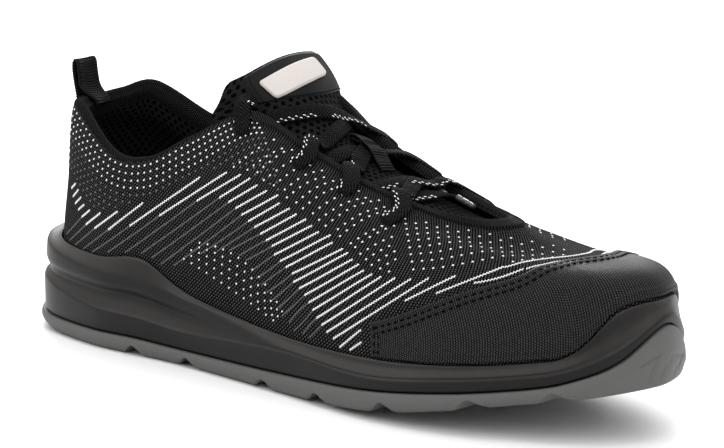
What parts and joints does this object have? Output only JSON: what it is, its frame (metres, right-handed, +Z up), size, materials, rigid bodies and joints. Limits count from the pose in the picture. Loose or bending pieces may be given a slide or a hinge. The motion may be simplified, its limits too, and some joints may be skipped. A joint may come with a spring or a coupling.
{
  "type": "low safety shoe",
  "caption": "Right low safety shoe with a knitted upper, toe guard, padded tongue and collar, flat laces and a two-layer moulded sole with a rubber tread.",
  "frame": {"origin": "centre of the heel's flat resting face on the ground", "axes": "+X from the heel towards the toe, +Y towards the inner side of the foot, +Z up"},
  "size_m": [0.2984, 0.1115, 0.1216],
  "materials": {
    "tread_rubber": "moulded mid-grey rubber, matt with faint flow marks",
    "sole_foam": "moulded black foam skin, semi-gloss",
    "insole_cloth": "black brushed lining cloth on foam",
    "knit": "near-black knit with white and grey float stitches",
    "guard_cloth": "coated black weave, pebbled",
    "webbing": "ribbed black tape",
    "air_mesh": "black spacer mesh with open holes",
    "lace_braid": "flat black braid with two rows of white flecks",
    "label_film": "off-white film on the tongue, bare",
    "aglet": "smooth white lace tip"
  },
  "bodies": {
    "root": {"outsole": "tread_rubber", "midsole": "sole_foam", "insole": "insole_cloth", "upper": "knit", "toe_guard": "guard_cloth", "throat_binding": "webbing", "tongue": "air_mesh", "tongue_label": "label_film", "lace_keeper": "webbing", "pull_loop": "webbing", "lace_crossing_rear": "lace_braid", "lace_crossing_middle": "lace_braid", "lace_crossing_front": "lace_braid", "lace_corner_outer": "lace_braid", "lace_corner_inner": "lace_braid", "lace_end": "lace_braid", "aglet_outer": "aglet", "aglet_inner": "aglet"}
  },
  "joints": []
}
